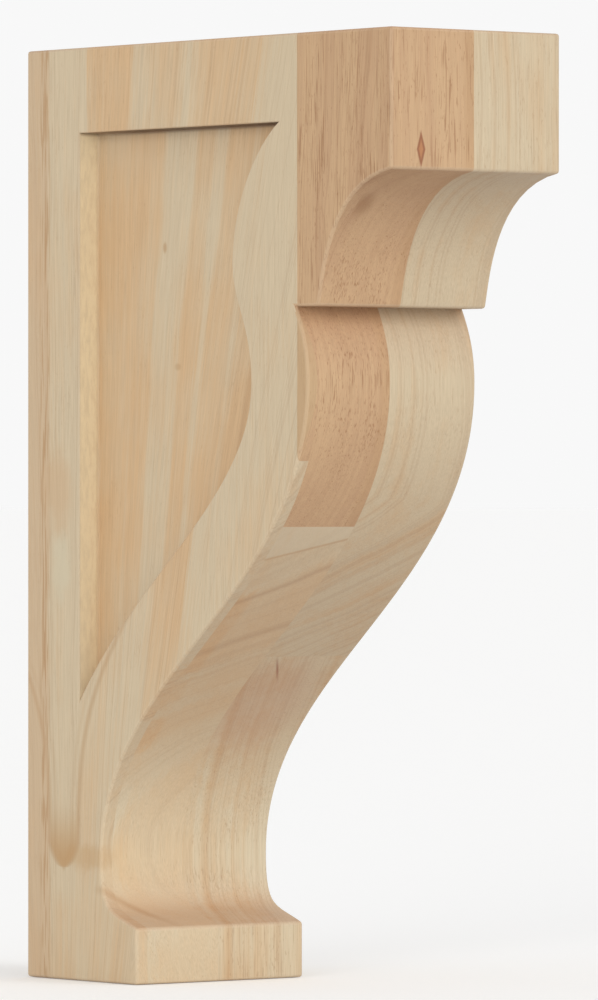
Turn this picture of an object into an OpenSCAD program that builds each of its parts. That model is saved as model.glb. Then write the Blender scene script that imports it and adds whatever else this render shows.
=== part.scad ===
// Carved wooden corbel bracket, one solid cut from a glued-up blank of boards.
// The wall face lies on Y = 0, the front looks toward -Y and the shelf seat is the top face.
// The origin is the centre of the wall face.

/* [Overall] */
// Width across the front
corbel_w = 76.2; // [60:0.1:120]
// Projection from the wall to the front of the cap
corbel_d = 209.6; // [170:0.1:280]
// Height from the underside of the foot to the top face
corbel_h = 336.6; // [275:0.1:450]

/* [Cap and cove] */
// Height of the plain cap at the front
cap_h = 48.9; // [36:0.1:62]
// Depth that the cove cuts back from the front of the cap
cove_d = 40.5; // [30:0.1:50]
// Height of the cove under the cap
cove_h = 46.6; // [36:0.1:58]
// Fall of the cove where it leaves the cap, in degrees below level
cove_entry_angle = 7.2; // [0:0.1:20]
// Lean of the cove where it ends at the ledge, in degrees from upright
cove_exit_angle = 17; // [0:0.5:25]
// Depth of the ledge on the underside of the cove
ledge_d = 12.5; // [6:0.1:16]

/* [Belly] */
// Forward swell of the belly from the back of the ledge to its crest
belly_swell = 6.9; // [3:0.1:12]
// Drop from the ledge to the crest of the belly
belly_drop = 26; // [18:0.1:36]
// Lean of the belly where it leaves the ledge, in degrees from upright
belly_lean = 28; // [10:0.5:40]
// Length of the upright run at the crest, as a share of the drop to the throat
belly_fullness = 0.45; // [0.3:0.01:0.6]

/* [Throat and foot] */
// Thickness of the throat, the slimmest place, measured from the wall
throat_t = 44.4; // [34:0.1:56]
// Height of the throat above the underside
throat_rise = 44.6; // [36:0.1:60]
// Length of the upright run at the throat, as a share of the drop from the crest
throat_fullness = 0.4; // [0.3:0.01:0.6]
// Thickness of the foot, measured from the wall
foot_t = 65.5; // [54:0.1:80]
// Height of the front face of the foot
foot_h = 20; // [12:0.1:30]
// Fall of the shoulder of the foot, in degrees below level
foot_fall_angle = 22; // [5:0.5:40]
// Length of the level run on the shoulder of the foot
foot_run = 16.6; // [8:0.1:20]

/* [Side panels] */
// Depth of the sunk panel on each side
panel_sink = 9; // [3:0.1:18]
// Width of the border above the panel
panel_top_border = 30.8; // [20:0.1:42]
// Width of the border between the panel and the wall
panel_back_border = 31.4; // [24:0.1:42]
// Distance from the front of the cap to the upper front corner of the panel
panel_front_border = 62.7; // [50:0.1:78]
// Width of the border between the panel and the cove
panel_cove_border = 48.3; // [40:0.1:58]
// Height of the foremost bulge of the border above the ledge
panel_cove_rise = 15.5; // [8:0.1:24]
// Width of the border along the belly
panel_belly_border = 31.9; // [24:0.1:40]

/* [Hidden] */

// Flat strips along each short curve and along the long curve of the belly
short_steps = 16;
long_steps = 56;
// Overrun of a cutting shape past the face that it opens
overrun = 1;

top = corbel_h / 2;
bottom = -corbel_h / 2;
front = -corbel_d;

// Handle lengths of the cove, belly and foot curves, as shares of their own sizes
cove_entry_share = 0.892;
cove_exit_share = 0.173;
belly_brow_share = 0.37;
foot_hollow_share = 0.84;

// Key points of the side outline, as [Y, Z]
cove_start = [front, top - cap_h];
cove_end = cove_start + [cove_d, -cove_h];
ledge_back = cove_end + [ledge_d, 0];
crest = ledge_back + [-belly_swell, -belly_drop];
throat = [-throat_t, bottom + throat_rise];
foot_edge = [-foot_t, bottom + foot_h];

// Upright runs at the crest and at the throat
long_drop = crest.y - throat.y;
crest_run = belly_fullness * long_drop;
throat_run = throat_fullness * long_drop;

// The four curves, each as the two ends and two handles of a cubic
cove_curve = [
    cove_start,
    cove_start + cove_entry_share * cove_d * [cos(cove_entry_angle), -sin(cove_entry_angle)],
    cove_end + cove_exit_share * cove_h * [-sin(cove_exit_angle), cos(cove_exit_angle)],
    cove_end
];
brow_curve = [
    ledge_back,
    ledge_back + belly_brow_share * belly_drop * [-sin(belly_lean), -cos(belly_lean)],
    crest + [0, belly_brow_share * belly_drop],
    crest
];
belly_curve = [
    crest,
    crest - [0, crest_run],
    throat + [0, throat_run],
    throat
];
foot_curve = [
    throat,
    throat - [0, foot_hollow_share * (throat_rise - foot_h)],
    foot_edge + foot_run * [cos(foot_fall_angle), sin(foot_fall_angle)],
    foot_edge
];

// Key points of the panel outline, as [Y, Z]
panel_top = top - panel_top_border;
panel_corner = [front + panel_front_border, panel_top];
panel_bulge = cove_end + [panel_cove_border, panel_cove_rise];
panel_waist = crest + [panel_belly_border, 0];

// Direction and reach of the handles that round the panel past the cove
corner_fall_angle = 32;
corner_run = 0.55 * (panel_bulge.x - panel_corner.x);
bulge_run_up = 0.45 * (panel_corner.y - panel_bulge.y);
bulge_run_down = 0.3 * (panel_bulge.y - panel_waist.y);
waist_run = 0.46 * (panel_bulge.y - panel_waist.y);

panel_cove_curve = [
    panel_corner,
    panel_corner + corner_run * [cos(corner_fall_angle), -sin(corner_fall_angle)],
    panel_bulge + [0, bulge_run_up],
    panel_bulge
];
panel_waist_curve = [
    panel_bulge,
    panel_bulge - [0, bulge_run_down],
    panel_waist + [0, waist_run],
    panel_waist
];

// Point on a cubic at t from 0 to 1
function cubic_point(c, t) =
    pow(1 - t, 3) * c[0] + 3 * pow(1 - t, 2) * t * c[1] + 3 * (1 - t) * pow(t, 2) * c[2] + pow(t, 3) * c[3];

// Direction of travel along a cubic at t
function cubic_travel(c, t) =
    pow(1 - t, 2) * (c[1] - c[0]) + 2 * (1 - t) * t * (c[2] - c[1]) + pow(t, 2) * (c[3] - c[2]);

// Points along a cubic
function cubic_points(c, steps) = [for (i = [0:steps]) cubic_point(c, i / steps)];

// Unit vector that points into the wood, on the left of the direction of travel
function inward(c, t) = let(v = cubic_travel(c, t)) [-v.y, v.x] / norm(v);

// Points that run beside a cubic, a border's width inside the wood
function parallel_points(c, steps, border) =
    [for (i = [0:steps]) cubic_point(c, i / steps) + border * inward(c, i / steps)];

side_outline = concat(
    [[0, top], [front, top]],
    cubic_points(cove_curve, short_steps),
    cubic_points(brow_curve, short_steps),
    cubic_points(belly_curve, long_steps),
    cubic_points(foot_curve, short_steps),
    [[-foot_t, bottom], [0, bottom]]
);

panel_outline = concat(
    [[0, panel_top]],
    cubic_points(panel_cove_curve, short_steps),
    cubic_points(panel_waist_curve, short_steps),
    parallel_points(belly_curve, long_steps, panel_belly_border),
    [[0, throat.y]]
);

// Stands a [Y, Z] outline up and gives it a width along X, from x = 0
module across(width) {
    rotate([90, 0, 90]) linear_extrude(height = width) children();
}

// The whole block, sawn to the side outline
module blank() {
    translate([-corbel_w / 2, 0, 0]) across(corbel_w) polygon(side_outline);
}

// The sunk panel of the +X side, cut off straight along its back border
module panel_cut() {
    cut_w = panel_sink + overrun;
    translate([corbel_w / 2 - panel_sink, 0, 0]) intersection() {
        across(cut_w) polygon(panel_outline);
        translate([0, front, bottom]) cube([cut_w, corbel_d - panel_back_border, corbel_h]);
    }
}

module corbel() {
    color("burlywood") difference() {
        blank();
        panel_cut();
        mirror([1, 0, 0]) panel_cut();
    }
}

corbel();
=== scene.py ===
import math
from collections import namedtuple

import bmesh
import bpy
from bpy.props import FloatProperty, FloatVectorProperty, PointerProperty
from bpy.types import Operator, Panel, PropertyGroup
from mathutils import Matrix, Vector


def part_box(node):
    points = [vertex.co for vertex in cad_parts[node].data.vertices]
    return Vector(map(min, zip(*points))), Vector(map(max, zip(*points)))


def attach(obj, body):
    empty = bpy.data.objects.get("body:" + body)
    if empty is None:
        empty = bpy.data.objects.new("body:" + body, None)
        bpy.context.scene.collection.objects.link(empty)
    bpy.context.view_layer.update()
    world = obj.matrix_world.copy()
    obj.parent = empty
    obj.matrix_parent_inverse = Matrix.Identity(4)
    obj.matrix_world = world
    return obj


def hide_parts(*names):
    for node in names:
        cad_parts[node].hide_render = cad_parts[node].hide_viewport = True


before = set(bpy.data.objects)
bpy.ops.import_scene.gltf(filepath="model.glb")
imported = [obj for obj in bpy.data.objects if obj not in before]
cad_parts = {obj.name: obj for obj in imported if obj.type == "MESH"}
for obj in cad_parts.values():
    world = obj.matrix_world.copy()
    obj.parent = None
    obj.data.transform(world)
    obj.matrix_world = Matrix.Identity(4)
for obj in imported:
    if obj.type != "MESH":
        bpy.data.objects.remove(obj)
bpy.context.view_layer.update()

bl_info = {
    "name": "Wooden Corbel Bracket",
    "version": (1, 0, 0),
    "blender": (4, 5, 0),
    "location": "View3D > Sidebar > Corbel",
    "description": "Finishes a carved wooden corbel, glued up from boards, and sets it in a plain studio",
    "category": "Object",
}

NODE = "corbel"
LOW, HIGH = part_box(NODE)

MM = 0.001
LEFT, RIGHT = LOW.x, HIGH.x
FRONT, WALL = LOW.y, HIGH.y
FOOT, TOP = LOW.z, HIGH.z


# ---------------------------------------------------------------- settings


class CorbelWoodSettings(PropertyGroup):
    """Sizes of the glued-up blank and the colours of its boards"""

    arris_radius: FloatProperty(
        name="Arris radius",
        description="Rounding that the sander leaves on every outer edge",
        default=1.0 * MM,
        min=0.2 * MM,
        max=3.0 * MM,
        unit="LENGTH",
    )
    rim_radius: FloatProperty(
        name="Panel rim radius",
        description="Rounding on the edge round each sunk panel",
        default=0.45 * MM,
        min=0.1 * MM,
        max=1.5 * MM,
        unit="LENGTH",
    )
    root_radius: FloatProperty(
        name="Root radius",
        description="Rounding that the cutter leaves in the inside corners",
        default=0.8 * MM,
        min=0.1 * MM,
        max=2.0 * MM,
        unit="LENGTH",
    )
    skin_thickness: FloatProperty(
        name="Outer layer",
        description="Thickness of the board on the outside of the left face",
        default=5.0 * MM,
        unit="LENGTH",
    )
    middle_joint: FloatProperty(
        name="Middle joint",
        description="Distance from the left face to the glue line at mid width",
        default=37.0 * MM,
        unit="LENGTH",
    )
    skin_front_depth: FloatProperty(
        name="Front stave, outer layer",
        description="Depth of the front stave on the left face",
        default=51.8 * MM,
        unit="LENGTH",
    )
    middle_front_depth: FloatProperty(
        name="Front stave, middle layer",
        description="Depth of the front stave behind the outer layer",
        default=66.0 * MM,
        unit="LENGTH",
    )
    right_front_depth: FloatProperty(
        name="Front stave, right layer",
        description="Depth of the front stave on the right half",
        default=117.0 * MM,
        unit="LENGTH",
    )
    cream: FloatVectorProperty(
        name="Cream",
        description="Palest sapwood",
        subtype="COLOR",
        size=3,
        min=0.0,
        max=1.0,
        default=(0.555, 0.45, 0.305),
    )
    tan: FloatVectorProperty(
        name="Tan",
        description="Warm wood between the pale bands",
        subtype="COLOR",
        size=3,
        min=0.0,
        max=1.0,
        default=(0.56, 0.38, 0.214),
    )
    russet: FloatVectorProperty(
        name="Russet",
        description="Redder wood of the front stave",
        subtype="COLOR",
        size=3,
        min=0.0,
        max=1.0,
        default=(0.475, 0.3, 0.17),
    )
    pore: FloatVectorProperty(
        name="Pore",
        description="Open pores and the dark lines of the grain",
        subtype="COLOR",
        size=3,
        min=0.0,
        max=1.0,
        default=(0.25, 0.11, 0.042),
    )


class CorbelStageSettings(PropertyGroup):
    """The camera and the light of the plain studio"""

    azimuth: FloatProperty(
        name="Camera azimuth",
        description="Direction the camera looks from, turned about the upright axis",
        default=math.radians(-38.56),
        subtype="ANGLE",
    )
    distance: FloatProperty(
        name="Camera distance",
        description="Level distance from the camera to the near corner",
        default=2.798,
        unit="LENGTH",
    )
    side_step: FloatProperty(
        name="Aim left of the near corner",
        description="How far left of the near corner the camera is aimed",
        default=31.7 * MM,
        unit="LENGTH",
    )
    height_drop: FloatProperty(
        name="Camera below the top",
        description="How far the lens is below the top face",
        default=157.9 * MM,
        unit="LENGTH",
    )
    lens: FloatProperty(
        name="Lens",
        description="Focal length in millimetres on a 36 mm sensor",
        default=293.0,
    )
    lens_shift: FloatProperty(
        name="Lens shift",
        description="Upward shift of the lens, as a share of the frame's longer side",
        default=-0.0147,
    )
    key_light: FloatProperty(
        name="Key light",
        description="Strength of the soft light from the left of the camera",
        default=1.45,
    )
    fill_light: FloatProperty(
        name="Fill light",
        description="Strength of the soft light from above, right of the camera",
        default=0.96,
    )
    floor_glow: FloatProperty(
        name="Floor glow",
        description="Light that the floor gives off, which levels it with the backdrop",
        default=0.135,
    )
    daylight: FloatProperty(
        name="Surrounding light",
        description="Strength of the even light from all round",
        default=0.68,
    )
    backdrop: FloatProperty(
        name="Backdrop",
        description="Brightness of the plain backdrop",
        default=0.94,
    )


# ------------------------------------------------------------- node helpers


class Grain:
    """Builds one board's shader tree; its sums, noises and masks are output sockets"""

    def __init__(self, material):
        material.use_nodes = True
        self.tree = material.node_tree
        self.nodes = self.tree.nodes
        self.shader = self.nodes["Principled BSDF"]

    def plug(self, value, socket):
        """Sets a socket to a plain value, or links it where the value is a socket too"""
        if isinstance(value, bpy.types.NodeSocket):
            self.tree.links.new(value, socket)
        else:
            socket.default_value = value

    def sum(self, operation, a, b=0.0, c=0.0, clamp=False):
        """One step of arithmetic on numbers"""
        node = self.nodes.new("ShaderNodeMath")
        node.operation = operation
        node.use_clamp = clamp
        for value, socket in zip((a, b, c), node.inputs):
            self.plug(value, socket)
        return node.outputs[0]

    def product(self, first, *others):
        """Masks multiplied together: 1 only where every one of them is"""
        for other in others:
            first = self.sum("MULTIPLY", first, other)
        return first

    def vector(self, operation, a, b=(0.0, 0.0, 0.0)):
        """One step of arithmetic on vectors"""
        node = self.nodes.new("ShaderNodeVectorMath")
        node.operation = operation
        self.plug(a, node.inputs[0])
        if operation == "SCALE":
            self.plug(b, node.inputs["Scale"])
        elif operation != "LENGTH":
            self.plug(b, node.inputs[1])
        return node.outputs["Value" if operation == "LENGTH" else "Vector"]

    def place(self):
        """Object position in millimetres"""
        node = self.nodes.new("ShaderNodeTexCoord")
        return self.vector("SCALE", node.outputs["Object"], 1.0 / MM)

    def split(self, vector):
        """The three numbers of a vector"""
        node = self.nodes.new("ShaderNodeSeparateXYZ")
        self.plug(vector, node.inputs[0])
        return node.outputs

    def join(self, x, y, z):
        """A vector from three numbers"""
        node = self.nodes.new("ShaderNodeCombineXYZ")
        for value, socket in zip((x, y, z), node.inputs):
            self.plug(value, socket)
        return node.outputs[0]

    def noise(self, vector, detail=2.0, rough=0.5, scale=1.0, colour=False):
        """Soft noise about 0.5, as one number or, with colour, as three"""
        node = self.nodes.new("ShaderNodeTexNoise")
        node.noise_dimensions = "3D"
        self.plug(vector, node.inputs["Vector"])
        node.inputs["Scale"].default_value = scale
        node.inputs["Detail"].default_value = detail
        node.inputs["Roughness"].default_value = rough
        return node.outputs["Color" if colour else "Fac"]

    def bands(self, distance, seed, detail=1.0):
        """Uneven bands along one distance, as growth rings are"""
        node = self.nodes.new("ShaderNodeTexNoise")
        node.noise_dimensions = "1D"
        self.plug(self.sum("ADD", distance, seed), node.inputs["W"])
        node.inputs["Scale"].default_value = 1.0
        node.inputs["Detail"].default_value = detail
        node.inputs["Roughness"].default_value = 0.55
        return node.outputs["Fac"]

    def step(self, value, low, high, smooth=True):
        """0 at low, 1 at high"""
        node = self.nodes.new("ShaderNodeMapRange")
        node.interpolation_type = "SMOOTHSTEP" if smooth else "LINEAR"
        self.plug(value, node.inputs["Value"])
        node.inputs["From Min"].default_value = low
        node.inputs["From Max"].default_value = high
        return node.outputs["Result"]

    def between(self, value, rise, fall):
        """1 between two edges; each is given by where it is 0 and where it is 1"""
        return self.product(self.step(value, *rise), self.step(value, *fall))

    def near(self, value, centre, width):
        """1 where value is at centre, falling to 0 at width away"""
        off = self.sum("ABSOLUTE", self.sum("SUBTRACT", value, centre))
        return self.step(off, width, 0.0)

    def blend(self, share, a, b):
        """A number that goes from a to b as share goes from 0 to 1"""
        return self.sum("MULTIPLY_ADD", self.sum("SUBTRACT", b, a), share, a)

    def curve(self, value, points, reach):
        """A smooth curve through a few (position, height) points, both in units of reach"""
        node = self.nodes.new("ShaderNodeFloatCurve")
        line = node.mapping.curves[0]
        for position, height in points[1:-1]:
            line.points.new(position / reach, height / reach)
        line.points[0].location = (points[0][0] / reach, points[0][1] / reach)
        line.points[-1].location = (points[-1][0] / reach, points[-1][1] / reach)
        node.mapping.update()
        self.plug(self.sum("DIVIDE", value, reach), node.inputs["Value"])
        return self.sum("MULTIPLY", node.outputs[0], reach)

    def mix(self, share, a, b, blend="MIX"):
        """A colour that goes from a to b as share goes from 0 to 1"""
        node = self.nodes.new("ShaderNodeMix")
        node.data_type = "RGBA"
        node.blend_type = blend
        self.plug(share, node.inputs["Factor"])
        for value, socket in ((a, node.inputs["A"]), (b, node.inputs["B"])):
            colour = value if isinstance(value, bpy.types.NodeSocket) else (*value, 1.0)
            self.plug(colour, socket)
        return node.outputs["Result"]


# ------------------------------------------------------------------- places


# Places on the carving in millimetres: back from the front, and down from the top
DEPTH = (WALL - FRONT) / MM
HEIGHT = (TOP - FOOT) / MM
LEDGE = 95.5
PANEL_TOP = 30.8
PANEL_CORNER = 62.7
PANEL_BACK = DEPTH - 31.4
SLOPE_SEAM = 185.3


def at(from_left, from_front, from_top):
    """A place by its distances from the left face, the front and the top, in millimetres"""
    return LEFT / MM + from_left, FRONT / MM + from_front, TOP / MM - from_top


def inward(grain, place):
    """Distance in from the left face, in millimetres"""
    return grain.sum("SUBTRACT", grain.split(place)[0], LEFT / MM)


def back(grain, place):
    """Distance back from the front, in millimetres"""
    return grain.sum("SUBTRACT", grain.split(place)[1], FRONT / MM)


def down(grain, place):
    """Distance down from the top, in millimetres"""
    return grain.sum("SUBTRACT", TOP / MM, grain.split(place)[2])


# ------------------------------------------------------------------ figures


# The knot low on the left face, round which the figure closes, in millimetres
KNOT_Y = WALL / MM - 22.4
KNOT_Z = FOOT / MM + 40.6

# Half width of the loop round the knot against height over it, in millimetres
LOOP = ((0, 9.3), (33, 9.8), (49, 13), (62, 18), (80, 29), (96, 42), (110, 54), (150, 88), (300, 150))
LOOP_REACH = 300.0

# Height over the knot at which the loop's closed end runs out into its legs, in millimetres
LOOP_END = 9.0

# How far under the knot the fanned lines of the flat-sawn boards would meet, in millimetres
FAN_DEPTH = 209.0

# How far a line of the fan falls back for each millimetre into the board
FAN_LAG = 0.33

# Width of the wood that one whole number of the fan's lines stands for, in millimetres
FAN_SPREAD = 330.0

# Share of warm wood against the number of the line, from the wall side to the front
FAN_LOW, FAN_HIGH = -0.06, 0.44
OUTER_TONES = (
    (-0.06, 0.3), (-0.02, 0.1), (0.026, 0.03), (0.034, 1.0), (0.078, 0.95), (0.087, 0.1),
    (0.11, 0.5), (0.14, 0.5), (0.148, 0.0), (0.158, 0.4), (0.19, 0.7), (0.226, 0.72),
    (0.236, 0.1), (0.44, 0.14),
)
INNER_TONES = (
    (-0.06, 0.6), (0.06, 0.8), (0.09, 0.75), (0.105, 0.12), (0.13, 0.15), (0.142, 0.75),
    (0.16, 0.7), (0.168, 0.2), (0.178, 0.7), (0.205, 0.75), (0.212, 0.4), (0.222, 0.95),
    (0.3, 1.0), (0.315, 0.15), (0.44, 0.3),
)

# Depth behind the front at which the lines of a stave start to cross over, in millimetres
CROSSING = 58.0


def fan_lines(grain, spot):
    """Lines of a flat-sawn board: upright over the knot, leaning out toward the front.

    Each line has a number, which grows toward the front.
    """
    _, y, z = grain.split(spot)
    ahead = grain.sum("SUBTRACT", KNOT_Y, y)
    ahead = grain.sum("MULTIPLY_ADD", inward(grain, spot), -FAN_LAG, ahead)
    rise = grain.sum("SUBTRACT", z, KNOT_Z - FAN_DEPTH)
    return grain.sum("DIVIDE", ahead, rise)


def fan_tone(grain, number, tones):
    """Share of warm wood on a line of the fan"""
    reach = FAN_HIGH - FAN_LOW
    shifted = [(position - FAN_LOW, tone * reach) for position, tone in tones]
    tone = grain.curve(grain.sum("SUBTRACT", number, FAN_LOW), shifted, reach)
    return grain.sum("DIVIDE", tone, reach)


def loop_line(grain, spot):
    """Distance outside the loop round the knot, and height over the knot, in millimetres"""
    _, y, z = grain.split(spot)
    height = grain.sum("SUBTRACT", z, KNOT_Z)
    up = grain.sum("MAXIMUM", height, 0.0)
    down = grain.sum("MINIMUM", height, 0.0)
    half = grain.curve(up, LOOP, LOOP_REACH)
    legs = grain.sum("ABSOLUTE", grain.sum("SUBTRACT", y, KNOT_Y))
    legs = grain.sum("SUBTRACT", legs, half)
    round_off = grain.sum("MINIMUM", grain.sum("DIVIDE", up, LOOP_END), 1.0)
    round_off = grain.sum("POWER", round_off, 0.5)
    close = grain.sum("MULTIPLY", grain.sum("SUBTRACT", 1.0, round_off), LOOP[0][1])
    return grain.sum("ADD", legs, grain.sum("SUBTRACT", close, down)), height


def straight_lines(grain, spot, lean, pitch, turn):
    """Lines of a stave sawn along the grain, nearly upright and pitch apart.

    Behind the front of the stave they cross over to the side, turn millimetres for each
    millimetre of depth.
    """
    x, y, z = grain.split(spot)
    run = grain.sum("MULTIPLY", x, lean[0] / pitch)
    run = grain.sum("MULTIPLY_ADD", y, lean[1] / pitch, run)
    behind = grain.sum("SUBTRACT", back(grain, spot), CROSSING)
    behind = grain.sum("MAXIMUM", behind, 0.0)
    run = grain.sum("MULTIPLY_ADD", behind, turn / pitch, run)
    return grain.sum("MULTIPLY_ADD", z, lean[2] / pitch, run)


# ---------------------------------------------------------------- materials


Stave = namedtuple("Stave", "seed pale warm pore streaks lines dashes pores")
Mark = namedtuple("Mark", "mask strength tint")

KNOT_BROWN = (0.4, 0.235, 0.11)
KNOT_HEART = (0.42, 0.235, 0.09)
# Colour of the worn arrises, which also serves as their painted highlight
BURNISH_HIGHLIGHT_TINT = (0.72, 0.6, 0.43)

# The middle of a noise, which is taken off to shift a place as much one way as the other
MIDDLE = (0.5, 0.5, 0.5)

# Depth of the open pores
RELIEF_DEPTH = 0.12 * MM


def stretched(grain, place, across, along, seed):
    """Noise position for marks that run along the grain, in marks per millimetre"""
    spot = grain.vector("MULTIPLY", place, (across, across, along))
    return grain.vector("ADD", spot, (seed, seed * 1.7, seed * 0.3))


def wavy(grain, place, reach, seed):
    """Bends the straight lines of the grain by up to reach millimetres"""
    wave = grain.noise(stretched(grain, place, 0.02, 0.009, seed), 2.0, 0.5, colour=True)
    bend = grain.vector("SUBTRACT", wave, MIDDLE)
    return grain.vector("ADD", place, grain.vector("MULTIPLY", bend, (2 * reach, 2 * reach, 0.0)))


def along_fan(grain, place, number):
    """Position along the fanned grain, for the marks that follow it"""
    x, y, z = grain.split(place)
    fanned = grain.sum("MULTIPLY", number, -FAN_SPREAD)

    # Toward the front of the left face the grain is plain and upright
    skin = grain.step(inward(grain, place), 6.0, 5.0)
    plain = grain.product(grain.step(number, 0.2, 0.27), skin)
    return grain.join(x, grain.blend(plain, fanned, y), z)


def clouded(grain, place, tone, streak, stave, calm):
    """Share of warm wood, with streaks along the grain and broad clouds of colour"""
    cloud = grain.noise(stretched(grain, place, 0.04, 0.02, stave.seed + 9.0), 3.0, 0.55)
    swing = grain.sum("MULTIPLY", grain.sum("SUBTRACT", streak, 0.5), stave.streaks)
    swing = grain.sum("MULTIPLY_ADD", grain.sum("SUBTRACT", cloud, 0.5), 1.6, swing)
    return grain.sum("MULTIPLY_ADD", swing, calm, tone, clamp=True)


def fibre_on(grain, colour, fine):
    """Fine fibre, lighter and darker by turns"""
    fibre = grain.step(fine, 0.3, 0.7, smooth=False)
    fibre = grain.sum("MULTIPLY_ADD", fibre, 0.12, 0.94)
    return grain.mix(1.0, colour, grain.join(fibre, fibre, fibre), "MULTIPLY")


def dashes_and_pores(grain, place, facing, seed):
    """Masks of the dark dashes, in clusters, and of the short open pores"""
    cluster = grain.noise(stretched(grain, place, 0.12, 0.03, seed + 21.0))
    cluster = grain.sum("SUBTRACT", cluster, 0.5)

    # End grain shows fewer dashes
    end_grain = grain.step(grain.sum("ABSOLUTE", facing), 0.1, 0.6)
    long_grain = grain.sum("MULTIPLY_ADD", end_grain, -0.75, 1.0)
    dash = grain.noise(stretched(grain, place, 2.3, 0.08, seed + 13.0), 1.0, 0.4)
    dash = grain.step(grain.sum("MULTIPLY_ADD", cluster, 0.35, dash), 0.6, 0.74)
    pore = grain.noise(stretched(grain, place, 2.2, 0.4, seed + 17.0), 1.0, 0.4)
    pore = grain.step(grain.sum("MULTIPLY_ADD", cluster, 0.25, pore), 0.66, 0.75)
    return grain.sum("MULTIPLY", dash, long_grain), pore


def marks_on(grain, colour, marks):
    """Lays the marks over the wood; a tint over 1 lifts the wood and keeps its grain"""
    for mark in marks:
        share = grain.sum("MULTIPLY", mark.mask, mark.strength)
        blend = "MULTIPLY" if max(mark.tint) > 1.0 else "MIX"
        colour = grain.mix(share, colour, mark.tint, blend)
    return colour


def end_grain_and_painted_shade(grain, colour, facing):
    """End grain soaks up more light than long grain; under sides are darkened with painted shade, and
    upper sides warmed with painted light
    """
    # Painted shade on faces that point down, painted light on faces that point up
    under = grain.sum("MAXIMUM", grain.sum("MULTIPLY", facing, -1.0), 0.0)
    over = grain.sum("MAXIMUM", facing, 0.0)
    soak = grain.sum("MULTIPLY_ADD", grain.sum("ABSOLUTE", facing), -0.14, 1.0)
    red = grain.sum("MULTIPLY_ADD", over, 0.14, grain.sum("MULTIPLY_ADD", under, -0.12, soak))
    green = grain.sum("MULTIPLY_ADD", under, -0.17, soak)
    blue = grain.sum("MULTIPLY_ADD", over, -0.03, grain.sum("MULTIPLY_ADD", under, -0.19, soak))
    return grain.mix(1.0, colour, grain.join(red, green, blue), "MULTIPLY")


def burnished_and_highlit(grain, colour):
    """Sanded arrises are burnished a little lighter, and the lighter band is also a painted highlight
    along the rounded edges
    """
    worn_and_highlit = grain.nodes.new("ShaderNodeAttribute")
    worn_and_highlit.attribute_name = "arris"
    return grain.mix(grain.sum("MULTIPLY", worn_and_highlit.outputs["Fac"], 0.15), colour, BURNISH_HIGHLIGHT_TINT)


def set_gloss(grain, streak, pore):
    """A dry, sanded sheen, duller in the streaks and the pores"""
    gloss = grain.sum("MULTIPLY_ADD", streak, 0.16, 0.5)
    gloss = grain.sum("MULTIPLY_ADD", pore, 0.15, gloss)
    grain.plug(gloss, grain.shader.inputs["Roughness"])
    grain.shader.inputs["Specular IOR Level"].default_value = 0.3


def set_relief(grain, streak, fine, pore):
    """The faint relief of fibre, streaks and open pores"""
    relief = grain.sum("MULTIPLY_ADD", pore, -0.9, grain.sum("MULTIPLY", fine, 0.35))
    relief = grain.sum("MULTIPLY_ADD", streak, 0.3, relief)
    bump = grain.nodes.new("ShaderNodeBump")
    bump.inputs["Strength"].default_value = 0.35
    bump.inputs["Distance"].default_value = RELIEF_DEPTH
    grain.plug(relief, bump.inputs["Height"])
    grain.plug(bump.outputs["Normal"], grain.shader.inputs["Normal"])


def finish_board(grain, place, tone, lines, stave, marks=(), calm=1.0):
    """Colour, gloss and relief of one board.

    place is the position along its grain, tone the share of warm wood, lines the mask of
    its season lines, and calm the strength of its streaks.
    """
    geometry = grain.nodes.new("ShaderNodeNewGeometry")
    facing = grain.split(geometry.outputs["Normal"])[2]
    streak = grain.noise(stretched(grain, place, 0.42, 0.011, stave.seed), 4.0, 0.65)
    fine = grain.noise(stretched(grain, place, 2.4, 0.06, stave.seed + 5.0), 2.0, 0.5)
    dash, pore = dashes_and_pores(grain, place, facing, stave.seed)

    tone = clouded(grain, place, tone, streak, stave, calm)
    colour = grain.mix(tone, stave.pale, stave.warm)
    colour = grain.mix(grain.sum("MULTIPLY", lines, stave.lines), colour, stave.pore)
    colour = fibre_on(grain, colour, fine)
    colour = grain.mix(grain.sum("MULTIPLY", dash, stave.dashes), colour, stave.pore)
    colour = grain.mix(grain.sum("MULTIPLY", pore, stave.pores), colour, stave.pore)
    colour = marks_on(grain, colour, marks)
    # End grain darkening with painted shade and light by facing, then the lighter arrises with their
    # painted highlight
    colour = burnished_and_highlit(grain, end_grain_and_painted_shade(grain, colour, facing))

    grain.plug(colour, grain.shader.inputs["Base Color"])
    set_gloss(grain, streak, pore)
    set_relief(grain, streak, fine, pore)


def new_grain(name):
    """A new material, and the tree that paints it"""
    material = bpy.data.materials.new(name)
    return material, Grain(material)


def feather(grain, place, number, seed):
    """Frays the edges of the fan's bands into streaks along the grain"""
    fray = grain.noise(stretched(grain, place, 0.5, 0.02, seed), 3.0, 0.6)
    return grain.sum("MULTIPLY_ADD", grain.sum("SUBTRACT", fray, 0.5), 0.022, number)


def fanned_wood(grain, place, seed, tones):
    """Number of the fan's line, position along the grain, and share of warm wood"""
    number = fan_lines(grain, wavy(grain, place, 3.0, seed))
    flow = along_fan(grain, place, number)
    return number, flow, fan_tone(grain, feather(grain, flow, number, seed + 3.0), tones)


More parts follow.
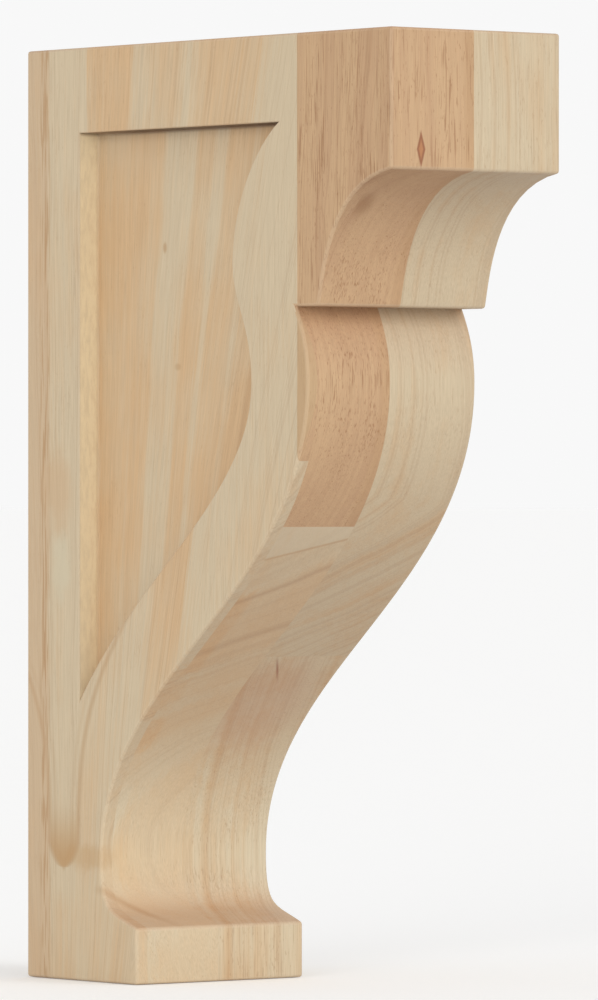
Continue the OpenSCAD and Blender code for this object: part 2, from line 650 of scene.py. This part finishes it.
def outer_board(name, stave, marks=()):
    """The flat-sawn board of the left face, with the knot and the loop round it"""
    material, grain = new_grain(name)
    place = grain.place()
    number, flow, tone = fanned_wood(grain, place, stave.seed, OUTER_TONES)

    # Over the knot, the wood behind the fan's main band stays pale, and the foot is plain
    outside, height = loop_line(grain, wavy(grain, place, 1.5, stave.seed + 7.0))
    hush = grain.product(grain.step(height, 118.0, 90.0), grain.step(number, 0.178, 0.168))
    tone = grain.sum("MULTIPLY", tone, grain.sum("MULTIPLY_ADD", hush, -0.85, 1.0))
    tone = grain.blend(grain.step(height, -4.0, -18.0), tone, 0.3)

    # The loop, a fainter echo inside it, and the brown heart of the knot at its end
    fade = grain.step(height, 150.0, 60.0)
    ring = grain.product(grain.near(outside, 0.0, 2.4), fade)
    echo = grain.product(grain.near(outside, -4.0, 2.0), fade)
    heart = grain.product(grain.step(outside, 0.8, -2.0), grain.step(height, 26.0, 2.0))
    knot = [Mark(ring, 0.45, KNOT_BROWN), Mark(echo, 0.14, KNOT_BROWN), Mark(heart, 0.72, KNOT_HEART)]

    lines = grain.near(grain.bands(grain.sum("MULTIPLY", number, 75.0), 31.0, 2.0), 0.5, 0.03)
    finish_board(grain, flow, tone, lines, stave, knot + [mark(grain, place) for mark in marks])
    return material


def inner_board(name, stave, marks=()):
    """The flat-sawn board behind, which the sunk panel and the under side show"""
    material, grain = new_grain(name)
    place = grain.place()
    number, flow, tone = fanned_wood(grain, place, stave.seed, INNER_TONES)

    # Deeper in than the floor of the panel the board is calmer, and the foot is plain
    deeper = grain.step(inward(grain, place), 9.5, 13.0)
    softer = grain.sum("MULTIPLY_ADD", tone, -0.6, 0.12)
    tone = grain.sum("MULTIPLY_ADD", softer, deeper, tone)
    calm = grain.sum("MULTIPLY_ADD", deeper, -0.5, 1.0)
    foot = grain.step(down(grain, place), HEIGHT - 38.0, HEIGHT - 22.0)
    tone = grain.blend(foot, tone, 0.25)

    # Season lines, with two strong dark ones across the under side
    lines = grain.near(grain.bands(grain.sum("MULTIPLY", number, 28.0), 3.0, 2.0), 0.5, 0.04)
    dark = grain.sum("MAXIMUM", grain.near(number, 0.245, 0.007), grain.near(number, 0.302, 0.005))
    lines = grain.sum("MULTIPLY_ADD", dark, 2.8, lines)
    lines = grain.sum("MULTIPLY", lines, grain.sum("SUBTRACT", 1.0, foot))
    finish_board(grain, flow, tone, lines, stave, [mark(grain, place) for mark in marks], calm)
    return material


def straight_board(name, stave, lean, pitch, wave, share, marks=(), turn=0.0):
    """A straight-grained stave; share is where its bands turn from pale to warm"""
    material, grain = new_grain(name)
    place = grain.place()
    run = straight_lines(grain, wavy(grain, place, wave, stave.seed), lean, pitch, turn)
    tone = grain.step(grain.bands(run, stave.seed, 3.0), *share)
    rings = grain.bands(grain.sum("MULTIPLY", run, 2.3), stave.seed + 31.0, 2.0)
    lines = grain.near(rings, 0.5, 0.05)
    finish_board(grain, place, tone, lines, stave, [mark(grain, place) for mark in marks])
    return material


# -------------------------------------------------------- marks in the wood, and painted light and shade


# Colour of the painted shade under the top wall of the left sunk panel
PANEL_TOP_SHADE_BROWN = (0.1, 0.05, 0.02)
GUM = (0.235, 0.075, 0.03)
GUM_CORE = (0.5, 0.23, 0.1)
# Colour of the painted light on the back wall of the left sunk panel
PANEL_BACK_LIGHT_TINT = (0.86, 0.72, 0.48)
KNOT_STAIN = (0.45, 0.265, 0.11)
GOLDEN = (0.64, 0.43, 0.22)
SMUDGE = (0.28, 0.14, 0.06)
PINK = (0.47, 0.27, 0.17)
WEDGE_CREAM = (0.56, 0.48, 0.35)
SLIVER_GOLD = (0.475, 0.325, 0.18)
PATCH_CREAM = (0.56, 0.5, 0.36)
PATCH_TAN = (0.52, 0.34, 0.19)
SAPWOOD = (0.5, 0.32, 0.185)
# Painted light that lifts the hollow of the throat
THROAT_LIGHT_TINT = (1.06, 1.11, 1.15)


def soft_spot(grain, place, centre, radii):
    """Mask of a small mark: 1 inside an ellipsoid, fading out at its skin"""
    off = grain.vector("SUBTRACT", place, centre)
    off = grain.vector("LENGTH", grain.vector("DIVIDE", off, radii))
    return grain.step(off, 1.0, 0.3)


def frayed(grain, place, reach, scale):
    """Shifts places about by up to half of reach each way, which frays the edge of a mark"""
    shift = grain.noise(place, 3.0, 0.6, scale, colour=True)
    shift = grain.vector("MULTIPLY", grain.vector("SUBTRACT", shift, MIDDLE), reach)
    return grain.vector("ADD", place, shift)


def lozenge(grain, place, edge, core):
    """Mask of the small lozenge on the front of the cap: 0 at edge, 1 at core"""
    side = grain.sum("ABSOLUTE", grain.sum("SUBTRACT", inward(grain, place), 13.3))
    height = grain.sum("ABSOLUTE", grain.sum("SUBTRACT", down(grain, place), 42.0))
    off = grain.sum("ADD", grain.sum("DIVIDE", side, 1.9), grain.sum("DIVIDE", height, 6.4))
    return grain.product(grain.step(off, edge, core), grain.step(back(grain, place), 3.0, 1.5))


def gum_fleck(grain, place):
    """Red-brown gum"""
    return Mark(lozenge(grain, place, 1.2, 0.8), 0.85, GUM)


def gum_core(grain, place):
    """The lighter middle of the gum"""
    return Mark(lozenge(grain, place, 0.75, 0.3), 0.6, GUM_CORE)


def joint_streak(grain, place):
    """Darker, redder wood beside the glue line of the front staves"""
    return Mark(grain.near(inward(grain, place), 35.5, 5.0), 0.3, KNOT_BROWN)


def panel_top_painted_shade(grain, place):
    """Painted shade: the dark line along the top of the left sunk panel, under its top wall"""
    depth = back(grain, place)
    line = grain.near(down(grain, place), PANEL_TOP + 0.1, 1.4)
    sunk = grain.between(inward(grain, place), (0.3, 1.0), (10.5, 9.5))
    corner = (PANEL_CORNER - 1.7, PANEL_CORNER + 3.3)
    span = grain.between(depth, corner, (PANEL_BACK + 3.4, PANEL_BACK + 0.4))
    ahead = grain.step(depth, PANEL_BACK, PANEL_BACK - 28.6)
    fade = grain.sum("MULTIPLY_ADD", ahead, 0.5, 0.5)
    return Mark(grain.product(line, span, fade, sunk), 0.8, PANEL_TOP_SHADE_BROWN)


def panel_back_painted_light(grain, place):
    """Painted light on the wall at the back of the left sunk panel: a brighter colour stands in for the
    light that falls on it
    """
    wall = grain.near(back(grain, place), PANEL_BACK, 1.2)
    sunk = grain.between(inward(grain, place), (0.2, 0.8), (9.0, 7.4))
    tall = grain.between(down(grain, place), (PANEL_TOP - 0.8, PANEL_TOP + 1.2), (262.0, 258.0))
    speck = grain.noise(stretched(grain, place, 0.6, 0.16, 3.0), 3.0, 0.7)
    strength = grain.sum("MULTIPLY_ADD", grain.step(speck, 0.35, 0.7), -0.28, 0.95)
    return Mark(grain.product(wall, sunk, tall), strength, PANEL_BACK_LIGHT_TINT)


def arris_knot(grain, place):
    """Brown wood where the knot comes out on the arris of the throat"""
    torn = frayed(grain, place, (0.0, 3.0, 5.0), 0.25)
    return Mark(soft_spot(grain, torn, at(1.0, 173.0, 292.0), (9.0, 19.0, 6.5)), 0.4, KNOT_STAIN)


def throat_painted_light(grain, place):
    """Painted light that lifts the colour in the hollow of the throat"""
    return Mark(soft_spot(grain, place, at(38.0, 160.0, 288.0), (120.0, 60.0, 50.0)), 1.0, THROAT_LIGHT_TINT)


def throat_glow(grain, place):
    """Golden wood round the knot where it comes through the throat"""
    return Mark(soft_spot(grain, place, at(9.0, 158.0, 297.0), (17.0, 14.0, 20.0)), 0.35, GOLDEN)


def throat_painted_shade_line(grain, place):
    """Painted shade: a brown line that runs from the arris down over the shoulder of the foot"""
    depth = inward(grain, place)
    line = grain.near(grain.sum("MULTIPLY_ADD", depth, -0.6, down(grain, place)), 303.5, 2.6)
    ahead = grain.step(back(grain, place), DEPTH - 38.0, DEPTH - 46.0)
    # The brown here is painted shade in the hollow of the shoulder
    return Mark(grain.product(line, grain.step(depth, 26.0, 12.0), ahead), 0.4, KNOT_BROWN)


def cove_smudge(grain, place):
    """A faint brown smudge in the cove of the cap"""
    return Mark(soft_spot(grain, place, at(8.0, 26.8, 59.0), (6.5, 9.0, 8.0)), 0.5, SMUDGE)


def small_check(grain, place):
    """A short drying check on the under side of the right half"""
    behind = grain.sum("SUBTRACT", back(grain, place), 119.8)
    across = grain.sum("MULTIPLY_ADD", behind, -0.79, inward(grain, place))
    line = grain.near(across, 45.0, 0.9)
    return Mark(grain.product(line, grain.near(down(grain, place), 224.0, 6.0)), 0.8, GUM)


def pink_bloom(grain, place):
    """Redder wood where the under side turns down into the throat"""
    torn = frayed(grain, place, (14.0, 0.0, 16.0), 0.06)
    return Mark(soft_spot(grain, torn, at(52.0, 130.0, 240.0), (30.0, 40.0, 30.0)), 0.35, PINK)


def below_stave(grain, place):
    """Depth down the slope, and the mask of the slope under the end of the front stave"""
    drop = grain.sum("MULTIPLY_ADD", inward(grain, place), 0.225, down(grain, place))
    return drop, grain.step(back(grain, place), 100.0, 97.0)


def slope_seam(grain, place):
    """The dark seam under the end of the front stave"""
    drop, front = below_stave(grain, place)
    return Mark(grain.product(grain.near(drop, SLOPE_SEAM, 0.7), front), 0.45, KNOT_BROWN)


def slope_wedge(grain, place):
    """The pale wedge of wood between that seam and the stave"""
    drop, front = below_stave(grain, place)
    over_seam = grain.step(drop, SLOPE_SEAM, SLOPE_SEAM - 0.8)
    under_stave = grain.step(down(grain, place), 168.0, 170.0)
    return Mark(grain.product(over_seam, front, under_stave), 0.45, WEDGE_CREAM)


def outer_sliver(grain, place):
    """The golden edge of the outer layer, which thins out up and down the belly"""
    drop = down(grain, place)
    height = grain.sum("DIVIDE", grain.sum("SUBTRACT", drop, 120.7), 25.0)
    width = grain.sum("MULTIPLY_ADD", grain.sum("MULTIPLY", height, height), -4.4, 4.4)
    skin = grain.step(grain.sum("SUBTRACT", inward(grain, place), width), 0.2, -0.2)
    return Mark(grain.product(skin, grain.step(drop, LEDGE - 0.5, LEDGE + 1.0)), 0.7, SLIVER_GOLD)


def back_strip_patch(grain, place, centre, radii):
    """Mask of a patch in the strip between the left sunk panel and the wall"""
    return soft_spot(grain, frayed(grain, place, (0.0, 6.0, 16.0), 0.12), centre, radii)


def pale_patch(grain, place):
    """A pale patch in that strip"""
    return Mark(back_strip_patch(grain, place, at(0.0, 188.5, 187.0), (9.0, 7.5, 17.0)), 0.55, PATCH_CREAM)


def tan_patch(grain, place):
    """A tan patch above it"""
    return Mark(back_strip_patch(grain, place, at(0.0, 191.0, 160.0), (9.0, 12.0, 20.0)), 0.5, PATCH_TAN)


def upper_pin_knot(grain, place):
    """A pin knot on the floor of the left panel"""
    return Mark(soft_spot(grain, place, at(9.0, 139.1, 72.9), (4.0, 1.6, 2.8)), 0.6, KNOT_BROWN)


def lower_pin_knot(grain, place):
    """A second, fainter pin knot on the floor of the left panel"""
    return Mark(soft_spot(grain, place, at(9.0, 131.5, 115.6), (4.0, 2.6, 1.8)), 0.4, KNOT_BROWN)


def wall_sapwood(grain, place):
    """The warm strip of wood along the wall"""
    edge = grain.noise(stretched(grain, place, 0.0, 0.02, 2.0), 2.0, 0.5)
    depth = grain.sum("MULTIPLY_ADD", edge, 3.0, back(grain, place))
    return Mark(grain.step(depth, DEPTH - 13.0, DEPTH - 10.5), 0.4, SAPWOOD)


def wall_dashes(grain, place):
    """Brown dashes in the strip along the wall"""
    dash = grain.noise(stretched(grain, place, 1.2, 0.06, 71.0), 1.0, 0.4)
    strip = grain.near(back(grain, place), DEPTH - 11.0, 5.0)
    return Mark(grain.product(grain.step(dash, 0.5, 0.62), strip), 0.75, KNOT_BROWN)


def front_glue_line(grain, place):
    """The broken glue line behind the front stave of the left face"""
    joint = bpy.context.scene.corbel_wood.skin_front_depth / MM
    line = grain.near(back(grain, place), joint, 0.4)
    gaps = grain.noise(stretched(grain, place, 0.0, 0.06, 5.0))
    return Mark(grain.product(line, grain.step(gaps, 0.4, 0.6)), 0.5, KNOT_BROWN)


FACE_MARKS = (
    wall_sapwood,
    wall_dashes,
    tan_patch,
    pale_patch,
    front_glue_line,
    panel_back_painted_light,
    panel_top_painted_shade,
    throat_glow,
    arris_knot,
    throat_painted_shade_line,
)
PANEL_MARKS = (
    panel_back_painted_light,
    panel_top_painted_shade,
    upper_pin_knot,
    lower_pin_knot,
    throat_painted_light,
    throat_glow,
    arris_knot,
    throat_painted_shade_line,
    slope_wedge,
    slope_seam,
)


# ------------------------------------------------------------------- carving


# Just behind its glue line, the root of the belly is cut in the outer front stave too
ROOT_DOWN = 110.0 * MM
ROOT_REACH = 1.5 * MM
ROOT_INWARD = 0.05 * MM

# Faces that meet at less than these are parts of one curve, and of one flat
SMOOTH_ANGLE = math.radians(30)
FLAT_ANGLE = math.radians(0.2)

# The walls of a sunk panel reach in less than this share of the width
SHALLOW = 0.25

# How far a face is marked as worn and lightened with a painted highlight: outer arrises, panel rims, and
# inside corners
ARRIS_WEAR_HIGHLIGHT, RIM_WEAR_HIGHLIGHT, ROOT_WEAR_HIGHLIGHT = 1.0, 0.6, 0.01

# Points nearer than this are one point
WELD = 1e-6


def board_at(spot, wood):
    """Index of the board that holds a point"""
    from_left = spot.x - LEFT
    from_front = spot.y - FRONT
    if from_left < wood.skin_thickness:
        root = from_left > ROOT_INWARD and TOP - spot.z < ROOT_DOWN
        reach = wood.skin_front_depth + (ROOT_REACH if root else 0.0)
        return 0 if from_front < reach else 1
    if from_left < wood.middle_joint:
        return 2 if from_front < wood.middle_front_depth else 3
    return 4 if from_front < wood.right_front_depth else 5


def board_materials(wood):
    """One material for each board, in the order that board_at counts them"""
    cream, tan, russet, pore = (tuple(c) for c in (wood.cream, wood.tan, wood.russet, wood.pore))
    rose = tuple(0.5 * (a + b) for a, b in zip(tan, russet))
    brown = tuple(0.93 * c for c in tan)
    oat = tuple(0.96 * c for c in cream)
    outer_front = Stave(3.0, rose, russet, pore, streaks=1.9, lines=0.2, dashes=0.62, pores=0.4)
    left_side = Stave(11.0, cream, tan, pore, streaks=1.3, lines=0.14, dashes=0.14, pores=0.1)
    middle_front = Stave(5.0, rose, russet, pore, streaks=1.7, lines=0.1, dashes=0.58, pores=0.45)
    middle_back = Stave(23.0, cream, tan, pore, streaks=1.05, lines=0.07, dashes=0.12, pores=0.14)
    right_front = Stave(41.0, oat, brown, pore, streaks=0.9, lines=0.12, dashes=0.16, pores=0.16)
    right_back = Stave(57.0, cream, brown, pore, streaks=1.1, lines=0.12, dashes=0.3, pores=0.25)
    return [
        straight_board(
            "front_stave_outer",
            outer_front,
            lean=(1.0, 0.5, 0.02),
            pitch=5.0,
            wave=4.0,
            share=(0.3, 0.7),
            marks=(front_glue_line, outer_sliver),
        ),
        outer_board("left_board", left_side, FACE_MARKS),
        straight_board(
            "front_stave_middle",
            middle_front,
            lean=(1.0, 0.4, 0.03),
            pitch=7.0,
            wave=4.0,
            share=(0.3, 0.75),
            marks=(gum_fleck, gum_core, joint_streak, cove_smudge),
        ),
        inner_board("middle_board", middle_back, PANEL_MARKS),
        straight_board(
            "right_front_stave",
            right_front,
            lean=(1.0, 0.15, 0.04),
            pitch=14.0,
            wave=5.0,
            share=(0.42, 0.95),
            marks=(small_check,),
            turn=1.5,
        ),
        straight_board(
            "right_back_board",
            right_back,
            lean=(1.0, -0.3, 0.0),
            pitch=14.0,
            wave=3.0,
            share=(0.3, 0.8),
            marks=(small_check, throat_painted_light, pink_bloom),
        ),
    ]


def is_rim(edge):
    """True on the outer edge of a sunk panel: it lies on a side face, inside its outline"""
    walls = [f for f in edge.link_faces if abs(f.normal.x) < 0.5]
    sides = [f for f in edge.link_faces if abs(f.normal.x) > 0.5]
    if len(walls) != 1 or len(sides) != 1:
        return False
    reach = [v.co.x for v in walls[0].verts]
    return max(reach) - min(reach) < SHALLOW * (RIGHT - LEFT)


def ease_edges(bm, edges, radius, mark, wear_and_highlight):
    """Rounds edges over and marks the new faces for their wear and painted highlight"""
    made = bmesh.ops.bevel(
        bm,
        geom=[e for e in edges if e.is_valid],
        offset=radius,
        offset_type="OFFSET",
        segments=3,
        profile=0.5,
        affect="EDGES",
        clamp_overlap=True,
        material=-1,
    )
    for face in made["faces"]:
        face[mark] = wear_and_highlight


def cut_at_glue_lines(bm, wood):
    """Cuts the skin of the block along the planes where its boards meet"""
    layers = (wood.skin_thickness, wood.middle_joint)
    staves = (wood.skin_front_depth, wood.middle_front_depth, wood.right_front_depth)
    planes = [((LEFT + depth, 0.0, 0.0), (1.0, 0.0, 0.0)) for depth in layers]
    planes += [((0.0, FRONT + depth, 0.0), (0.0, 1.0, 0.0)) for depth in staves]
    for point, normal in planes:
        geometry = bm.verts[:] + bm.edges[:] + bm.faces[:]
        bmesh.ops.bisect_plane(bm, geom=geometry, dist=WELD, plane_co=point, plane_no=normal)


def carve_block(wood):
    """The block as it leaves the sander: the solid's own faces, cut into boards, arrises eased"""
    bm = bmesh.new()
    bm.from_mesh(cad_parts[NODE].data)
    bmesh.ops.remove_doubles(bm, verts=bm.verts, dist=WELD)
    bmesh.ops.dissolve_limit(bm, angle_limit=FLAT_ANGLE, verts=bm.verts, edges=bm.edges)
    mark = bm.faces.layers.float.new("arris")

    paired = [e for e in bm.edges if len(e.link_faces) == 2]
    sharp = [e for e in paired if e.calc_face_angle() > SMOOTH_ANGLE]
    inside = [e for e in sharp if not e.is_convex]
    rims = [e for e in sharp if e.is_convex and is_rim(e)]
    arrises = [e for e in sharp if e.is_convex and not is_rim(e)]
    ease_edges(bm, arrises, wood.arris_radius, mark, ARRIS_WEAR_HIGHLIGHT)
    ease_edges(bm, rims, wood.rim_radius, mark, RIM_WEAR_HIGHLIGHT)
    ease_edges(bm, inside, wood.root_radius, mark, ROOT_WEAR_HIGHLIGHT)
    cut_at_glue_lines(bm, wood)

    for face in bm.faces:
        face.smooth = True
        face.material_index = board_at(face.calc_center_median(), wood)
    for edge in bm.edges:
        worn_and_highlit = [face[mark] > 0.0 for face in edge.link_faces]
        edge.smooth = len(worn_and_highlit) == 2 and worn_and_highlit[0] == worn_and_highlit[1] and edge.calc_face_angle() < SMOOTH_ANGLE
    mesh = bpy.data.meshes.new("corbel_wood")
    bm.to_mesh(mesh)
    bm.free()
    return mesh


class CORBEL_OT_wood(Operator):
    """Finish the carved block: boards, figure, pores and eased arrises"""

    bl_idname = "corbel.wood"
    bl_label = "Finish the wood"

    def execute(self, context):
        wood = context.scene.corbel_wood
        mesh = carve_block(wood)
        for material in board_materials(wood):
            mesh.materials.append(material)
        block = bpy.data.objects.new("corbel_wood", mesh)
        context.scene.collection.objects.link(block)
        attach(block, "root")
        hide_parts(NODE)
        return {"FINISHED"}


# --------------------------------------------------------------------- stage


# Ways that the lamps shine, their spread as seen from the part, and their colour
KEY_WAY = (0.85, 0.5, -0.1)
FILL_WAY = (-0.42, 0.84, -0.33)
LAMP_SPREAD = math.radians(35.0)
LAMP_WHITE = (1.0, 0.99, 0.97)

SENSOR_WIDTH = 36.0
FLOOR_RADIUS = 60.0
FLOOR_GAP = 0.2 * MM
FLOOR_DARK = (0.95, 0.95, 0.948)
FLOOR_LIGHT = (0.965, 0.965, 0.963)
WHITE = (1.0, 1.0, 1.0, 1.0)


def level_direction(azimuth):
    """Level unit vector that a camera at this azimuth looks along"""
    return Vector((-math.sin(azimuth), math.cos(azimuth), 0.0))


def face_along(thing, direction):
    """Turns a camera or a lamp to look along a direction"""
    thing.rotation_euler = Vector(direction).to_track_quat("-Z", "Y").to_euler()


def set_camera(context, stage):
    """A level camera, aimed beside the near corner"""
    ahead = level_direction(stage.azimuth)
    right = Vector((ahead.y, -ahead.x, 0.0))
    aim = Vector((LEFT, FRONT, TOP - stage.height_drop)) - right * stage.side_step
    data = bpy.data.cameras.new("camera")
    data.lens = stage.lens
    data.sensor_width = SENSOR_WIDTH
    data.shift_y = stage.lens_shift
    data.dof.use_dof = False
    camera = bpy.data.objects.new("camera", data)
    camera.location = aim - ahead * stage.distance
    context.scene.collection.objects.link(camera)
    face_along(camera, aim - camera.location)
    context.scene.camera = camera


def add_lamp(context, name, direction, strength):
    """A very large, far soft box: even light from one side"""
    data = bpy.data.lights.new(name, "SUN")
    data.angle = LAMP_SPREAD
    data.energy = strength
    data.color = LAMP_WHITE
    lamp = bpy.data.objects.new(name, data)
    context.scene.collection.objects.link(lamp)
    face_along(lamp, direction)


def add_floor(context, stage):
    """A wide pale floor, just under the foot"""
    bm = bmesh.new()
    bmesh.ops.create_circle(bm, cap_ends=True, segments=96, radius=FLOOR_RADIUS)
    mesh = bpy.data.meshes.new("floor")
    bm.to_mesh(mesh)
    bm.free()
    floor = bpy.data.objects.new("floor", mesh)
    floor.location = (0.0, 0.0, FOOT - FLOOR_GAP)
    context.scene.collection.objects.link(floor)
    material, grain = new_grain("floor")
    speck = grain.noise(grain.place(), 3.0, 0.6, 0.02)
    grain.plug(grain.mix(speck, FLOOR_DARK, FLOOR_LIGHT), grain.shader.inputs["Base Color"])
    grain.shader.inputs["Roughness"].default_value = 0.9
    grain.shader.inputs["Emission Color"].default_value = WHITE
    grain.shader.inputs["Emission Strength"].default_value = stage.floor_glow
    mesh.materials.append(material)


def studio_world(stage):
    """Even white light all round, in front of a brighter white backdrop"""
    world = bpy.data.worlds.new("studio")
    world.use_nodes = True
    nodes = world.node_tree.nodes
    links = world.node_tree.links
    around = nodes["Background"]
    backdrop = nodes.new("ShaderNodeBackground")
    for light, strength in ((around, stage.daylight), (backdrop, stage.backdrop)):
        light.inputs["Color"].default_value = WHITE
        light.inputs["Strength"].default_value = strength
    path = nodes.new("ShaderNodeLightPath")
    choose = nodes.new("ShaderNodeMixShader")
    links.new(path.outputs["Is Camera Ray"], choose.inputs[0])
    links.new(around.outputs[0], choose.inputs[1])
    links.new(backdrop.outputs[0], choose.inputs[2])
    links.new(choose.outputs[0], nodes["World Output"].inputs["Surface"])
    return world


class CORBEL_OT_stage(Operator):
    """Set up the plain floor, the soft light and the camera"""

    bl_idname = "corbel.stage"
    bl_label = "Set the stage"

    def execute(self, context):
        stage = context.scene.corbel_stage
        add_floor(context, stage)
        add_lamp(context, "key", KEY_WAY, stage.key_light)
        add_lamp(context, "fill", FILL_WAY, stage.fill_light)
        context.scene.world = studio_world(stage)
        context.scene.view_settings.view_transform = "Standard"
        set_camera(context, stage)
        return {"FINISHED"}


class CORBEL_PT_panel(Panel):
    """Lists the steps and the sizes of the corbel"""

    bl_label = "Corbel"
    bl_idname = "CORBEL_PT_panel"
    bl_space_type = "VIEW_3D"
    bl_region_type = "UI"
    bl_category = "Corbel"

    def draw(self, context):
        layout = self.layout
        for settings in (context.scene.corbel_wood, context.scene.corbel_stage):
            for name in settings.__annotations__:
                layout.prop(settings, name)
        layout.operator(CORBEL_OT_wood.bl_idname)
        layout.operator(CORBEL_OT_stage.bl_idname)


CLASSES = (
    CorbelWoodSettings,
    CorbelStageSettings,
    CORBEL_OT_wood,
    CORBEL_OT_stage,
    CORBEL_PT_panel,
)


def register():
    """Makes the settings, the steps and the panel known to Blender"""
    for cls in CLASSES:
        bpy.utils.register_class(cls)
    bpy.types.Scene.corbel_wood = PointerProperty(type=CorbelWoodSettings)
    bpy.types.Scene.corbel_stage = PointerProperty(type=CorbelStageSettings)


def unregister():
    """Takes them out again"""
    del bpy.types.Scene.corbel_stage
    del bpy.types.Scene.corbel_wood
    for cls in reversed(CLASSES):
        bpy.utils.unregister_class(cls)


def main():
    """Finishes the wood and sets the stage"""
    register()
    bpy.ops.corbel.wood()
    bpy.ops.corbel.stage()


if __name__ == "__main__":
    main()
